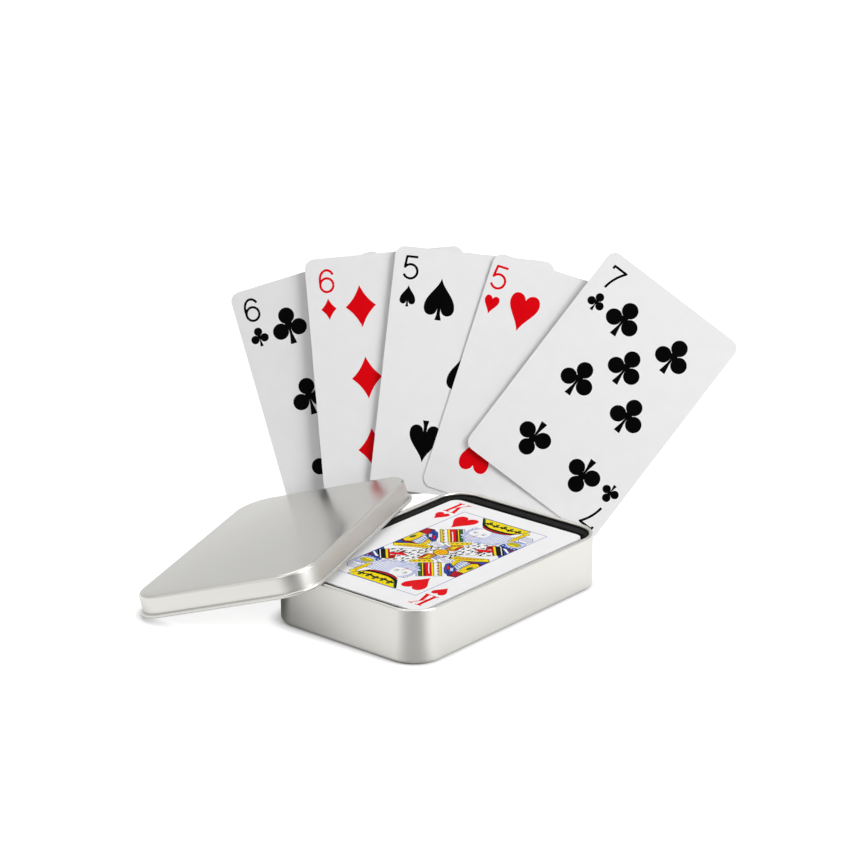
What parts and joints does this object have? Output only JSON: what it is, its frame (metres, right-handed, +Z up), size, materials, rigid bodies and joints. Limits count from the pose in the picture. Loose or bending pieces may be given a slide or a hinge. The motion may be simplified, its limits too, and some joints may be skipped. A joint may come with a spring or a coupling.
{
  "type": "playing card deck",
  "caption": "Deck of playing cards in an open slip-lid tin with a foam lining; the lid leans on the tin and a fan of cards stands behind it.",
  "frame": {"origin": "centre of the tin's underside, on the surface it stands on", "axes": "+X along the tin's long side, towards the top edge of the cards in it; +Y along its short side, towards the lid; +Z up"},
  "size_m": [0.2072, 0.1553, 0.0965],
  "materials": {
    "tinplate": "satin",
    "foam": "matte",
    "card": "satin"
  },
  "bodies": {
    "tin": {"tin_base": "tinplate", "foam_insert": "foam"},
    "lower_deck": {"first_joker": "card", "second_joker": "card", "ace_of_clubs": "card", "two_of_clubs": "card", "three_of_clubs": "card", "four_of_clubs": "card", "five_of_clubs": "card", "eight_of_clubs": "card", "nine_of_clubs": "card", "ten_of_clubs": "card", "jack_of_clubs": "card", "queen_of_clubs": "card", "king_of_clubs": "card", "ace_of_diamonds": "card", "two_of_diamonds": "card", "three_of_diamonds": "card", "four_of_diamonds": "card", "five_of_diamonds": "card", "seven_of_diamonds": "card", "eight_of_diamonds": "card", "nine_of_diamonds": "card", "ten_of_diamonds": "card", "jack_of_diamonds": "card", "queen_of_diamonds": "card", "king_of_diamonds": "card"},
    "upper_deck": {"ace_of_spades": "card", "two_of_spades": "card", "three_of_spades": "card", "four_of_spades": "card", "six_of_spades": "card", "seven_of_spades": "card", "eight_of_spades": "card", "nine_of_spades": "card", "ten_of_spades": "card", "jack_of_spades": "card", "queen_of_spades": "card", "king_of_spades": "card", "ace_of_hearts": "card", "two_of_hearts": "card", "three_of_hearts": "card", "four_of_hearts": "card", "six_of_hearts": "card", "seven_of_hearts": "card", "eight_of_hearts": "card", "nine_of_hearts": "card", "ten_of_hearts": "card", "jack_of_hearts": "card", "queen_of_hearts": "card"},
    "top_card": {"king_of_hearts": "card"},
    "lid": {"tin_lid": "tinplate"},
    "six_of_clubs": {"six_of_clubs": "card"},
    "six_of_diamonds": {"six_of_diamonds": "card"},
    "five_of_spades": {"five_of_spades": "card"},
    "five_of_hearts": {"five_of_hearts": "card"},
    "seven_of_clubs": {"seven_of_clubs": "card"}
  },
  "joints": [
    {"name": "lower_deck_lift", "type": "slide", "parent": "tin", "child": "lower_deck", "axis": [0, 0, 1], "range_m": [0, 0.03]},
    {"name": "upper_deck_lift", "type": "slide", "parent": "lower_deck", "child": "upper_deck", "axis": [0, 0, 1], "range_m": [0, 0.03]},
    {"name": "top_card_lift", "type": "slide", "parent": "upper_deck", "child": "top_card", "axis": [0, 0, 1], "range_m": [0, 0.03]},
    {"name": "lid_lift", "type": "slide", "parent": "top_card", "child": "lid", "axis": [0, 0, 1], "range_m": [0, 0.05]},
    {"name": "six_of_clubs_draw", "type": "slide", "parent": "tin", "child": "six_of_clubs", "axis": [0.0938, 0.4441, 0.8911], "range_m": [0, 0.05]},
    {"name": "six_of_diamonds_draw", "type": "slide", "parent": "tin", "child": "six_of_diamonds", "axis": [0.2173, 0.3001, 0.9288], "range_m": [0, 0.05]},
    {"name": "five_of_spades_draw", "type": "slide", "parent": "tin", "child": "five_of_spades", "axis": [0.3367, 0.1392, 0.9313], "range_m": [0, 0.05]},
    {"name": "five_of_hearts_draw", "type": "slide", "parent": "tin", "child": "five_of_hearts", "axis": [0.4425, -0.0273, 0.8963], "range_m": [0, 0.05]},
    {"name": "seven_of_clubs_draw", "type": "slide", "parent": "tin", "child": "seven_of_clubs", "axis": [0.5801, -0.305, 0.7553], "range_m": [0, 0.05]}
  ]
}
